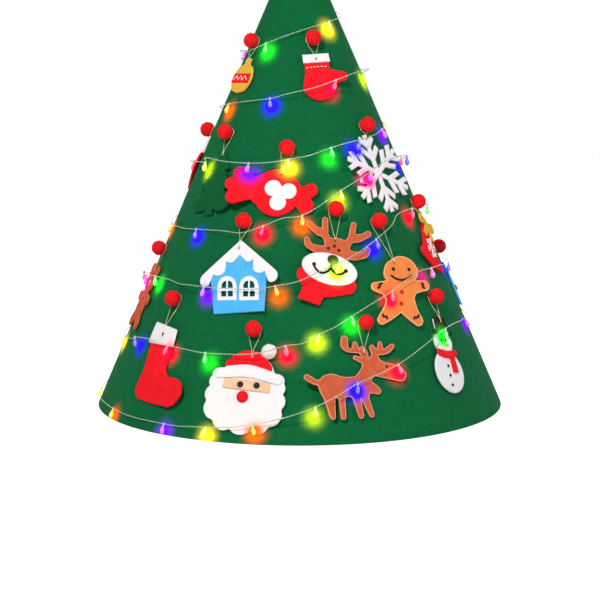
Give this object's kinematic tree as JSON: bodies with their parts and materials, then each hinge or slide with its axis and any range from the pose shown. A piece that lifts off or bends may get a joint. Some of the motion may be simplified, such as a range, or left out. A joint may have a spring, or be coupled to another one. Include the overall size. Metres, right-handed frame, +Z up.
{
  "type": "felt christmas tree",
  "caption": "Table-top cone of green felt with hanging felt ornaments on pompom pegs, a wound string of lights, a battery case and a star on its tip.",
  "frame": {"origin": "middle of the bounding box at the hem, on the table", "axes": "+Z up through the tip, -Y towards the front with the ornaments of the picture, +X to the viewer's right"},
  "size_m": [0.5228, 0.532, 0.6631],
  "materials": {
    "green_felt": "dense green craft felt, matt and finely fibrous",
    "red_felt": "red craft felt, matt and finely fibrous",
    "white_felt": "white craft felt, matt",
    "brown_felt": "brown craft felt, matt",
    "ginger_felt": "orange-brown craft felt, matt",
    "blue_felt": "light blue craft felt, matt",
    "skin_felt": "light tan craft felt, matt",
    "black_felt": "black craft felt, matt",
    "gold_felt": "golden yellow craft felt, matt",
    "strip_black": "black hook and loop tape",
    "clear_wire": "clear PVC-covered wire with clear moulded lights",
    "case_plastic": "white moulded plastic, satin",
    "battery_cell": "plain green printed sleeve, glossy",
    "switch_black": "black moulded plastic, satin"
  },
  "bodies": {
    "tree": {"felt_cone": "green_felt", "loop_strip": "strip_black", "hook_strip": "strip_black", "light_string": "clear_wire", "battery_case": "case_plastic", "battery_cell_1": "battery_cell", "battery_cell_2": "battery_cell", "candy_peg": "red_felt", "snowflake_peg": "red_felt", "house_peg": "red_felt", "reindeer_peg": "red_felt", "gingerbread_peg": "red_felt", "santa_peg": "red_felt", "stocking_peg": "red_felt", "deer_peg": "red_felt", "snowman_peg": "red_felt", "bell_peg": "red_felt", "bear_peg": "red_felt", "mini_tree_peg": "red_felt", "mitten_peg": "red_felt", "bauble_peg": "red_felt", "star_cookie_peg": "red_felt", "gift_peg": "red_felt", "heart_peg": "red_felt", "candy_cane_peg": "red_felt"},
    "candy_ornament": {"candy": "red_felt", "candy_dots": "white_felt"},
    "snowflake_ornament": {"snowflake": "white_felt"},
    "house_ornament": {"house": "blue_felt", "house_roof": "white_felt"},
    "reindeer_ornament": {"reindeer": "brown_felt", "reindeer_scarf": "red_felt", "reindeer_muzzle": "white_felt", "reindeer_nose": "black_felt"},
    "gingerbread_ornament": {"gingerbread": "ginger_felt"},
    "santa_ornament": {"santa": "white_felt", "santa_hat": "red_felt", "santa_brim": "white_felt", "santa_face": "skin_felt", "santa_nose": "red_felt", "santa_pompom": "white_felt"},
    "stocking_ornament": {"stocking": "red_felt", "stocking_cuff": "white_felt"},
    "deer_ornament": {"deer": "brown_felt"},
    "snowman_ornament": {"snowman": "white_felt", "snowman_hat": "black_felt", "snowman_scarf": "red_felt"},
    "bell_ornament": {"bell": "red_felt", "bell_bow": "gold_felt"},
    "bear_ornament": {"bear": "brown_felt"},
    "mini_tree_ornament": {"mini_tree": "green_felt"},
    "mitten_ornament": {"mitten": "red_felt"},
    "bauble_ornament": {"bauble": "gold_felt"},
    "star_cookie_ornament": {"star_cookie": "ginger_felt"},
    "gift_ornament": {"gift": "blue_felt"},
    "heart_ornament": {"heart": "red_felt"},
    "candy_cane_ornament": {"candy_cane": "white_felt"},
    "cover": {"battery_cover": "case_plastic"},
    "switch": {"switch_slider": "switch_black"},
    "star": {"tree_star": "gold_felt"}
  },
  "joints": [
    {"name": "candy_swing", "type": "hinge", "parent": "tree", "child": "candy_ornament", "pos_m": [-0.01395, -0.11695, 0.3282], "axis": [-0.1086, -0.9111, 0.3976], "range_deg": [-5, 5]},
    {"name": "snowflake_swing", "type": "hinge", "parent": "tree", "child": "snowflake_ornament", "pos_m": [0.07668, -0.07405, 0.354], "axis": [0.66, -0.6374, 0.3976], "range_deg": [-6, 6]},
    {"name": "house_swing", "type": "hinge", "parent": "tree", "child": "house_ornament", "pos_m": [-0.06341, -0.14111, 0.243], "axis": [-0.3761, -0.8369, 0.3976], "range_deg": [-8, 8]},
    {"name": "reindeer_swing", "type": "hinge", "parent": "tree", "child": "reindeer_ornament", "pos_m": [0.04092, -0.14271, 0.2574], "axis": [0.2529, -0.882, 0.3976], "range_deg": [-5, 5]},
    {"name": "gingerbread_swing", "type": "hinge", "parent": "tree", "child": "gingerbread_ornament", "pos_m": [0.09051, -0.12642, 0.2412], "axis": [0.5341, -0.7461, 0.3976], "range_deg": [-4, 4]},
    {"name": "santa_swing", "type": "hinge", "parent": "tree", "child": "santa_ornament", "pos_m": [-0.0514, -0.20021, 0.123], "axis": [-0.2282, -0.8887, 0.3976], "range_deg": [-7, 7]},
    {"name": "stocking_swing", "type": "hinge", "parent": "tree", "child": "stocking_ornament", "pos_m": [-0.1464, -0.12998, 0.1482], "axis": [-0.6861, -0.6092, 0.3976], "range_deg": [-6, 6]},
    {"name": "deer_swing", "type": "hinge", "parent": "tree", "child": "deer_ornament", "pos_m": [0.07447, -0.19003, 0.129], "axis": [0.3348, -0.8543, 0.3976], "range_deg": [-6, 6]},
    {"name": "snowman_swing", "type": "hinge", "parent": "tree", "child": "snowman_ornament", "pos_m": [0.15899, -0.11425, 0.1482], "axis": [0.7451, -0.5354, 0.3976], "range_deg": [-8, 8]},
    {"name": "bell_swing", "type": "hinge", "parent": "tree", "child": "bell_ornament", "pos_m": [0.14013, -0.04825, 0.258], "axis": [0.8676, -0.2987, 0.3976], "range_deg": [-8, 8]},
    {"name": "bear_swing", "type": "hinge", "parent": "tree", "child": "bear_ornament", "pos_m": [-0.16852, -0.04202, 0.1992], "axis": [-0.8903, -0.222, 0.3976], "range_deg": [-12, 12]},
    {"name": "mini_tree_swing", "type": "hinge", "parent": "tree", "child": "mini_tree_ornament", "pos_m": [-0.08465, -0.07103, 0.345], "axis": [-0.7029, -0.5898, 0.3976], "range_deg": [-5, 5]},
    {"name": "mitten_swing", "type": "hinge", "parent": "tree", "child": "mitten_ornament", "pos_m": [0.01478, -0.05928, 0.459], "axis": [0.222, -0.8903, 0.3976], "range_deg": [-10, 10]},
    {"name": "bauble_swing", "type": "hinge", "parent": "tree", "child": "bauble_ornament", "pos_m": [-0.05292, -0.03307, 0.456], "axis": [-0.7781, -0.4862, 0.3976], "range_deg": [-10, 10]},
    {"name": "star_cookie_swing", "type": "hinge", "parent": "tree", "child": "star_cookie_ornament", "pos_m": [0.07533, 0.08366, 0.3402], "axis": [0.614, 0.6819, 0.3976], "range_deg": [-10, 10]},
    {"name": "gift_swing", "type": "hinge", "parent": "tree", "child": "gift_ornament", "pos_m": [0.1736, 0.03061, 0.1932], "axis": [0.9036, 0.1593, 0.3976], "range_deg": [-10, 10]},
    {"name": "heart_swing", "type": "hinge", "parent": "tree", "child": "heart_ornament", "pos_m": [-0.10968, 0.01347, 0.345], "axis": [-0.9107, 0.1118, 0.3976], "range_deg": [-10, 10]},
    {"name": "candy_cane_swing", "type": "hinge", "parent": "tree", "child": "candy_cane_ornament", "pos_m": [-0.15161, 0.11845, 0.156], "axis": [-0.723, 0.5649, 0.3976], "range_deg": [-10, 10]},
    {"name": "cover_slide", "type": "slide", "parent": "tree", "child": "cover", "axis": [1, 0, 0], "range_m": [0, 0.05]},
    {"name": "switch_slide", "type": "slide", "parent": "tree", "child": "switch", "axis": [1, 0, 0], "range_m": [0, 0.004]},
    {"name": "star_lift", "type": "slide", "parent": "tree", "child": "star", "axis": [0, 0, 1], "range_m": [0, 0.08]}
  ]
}
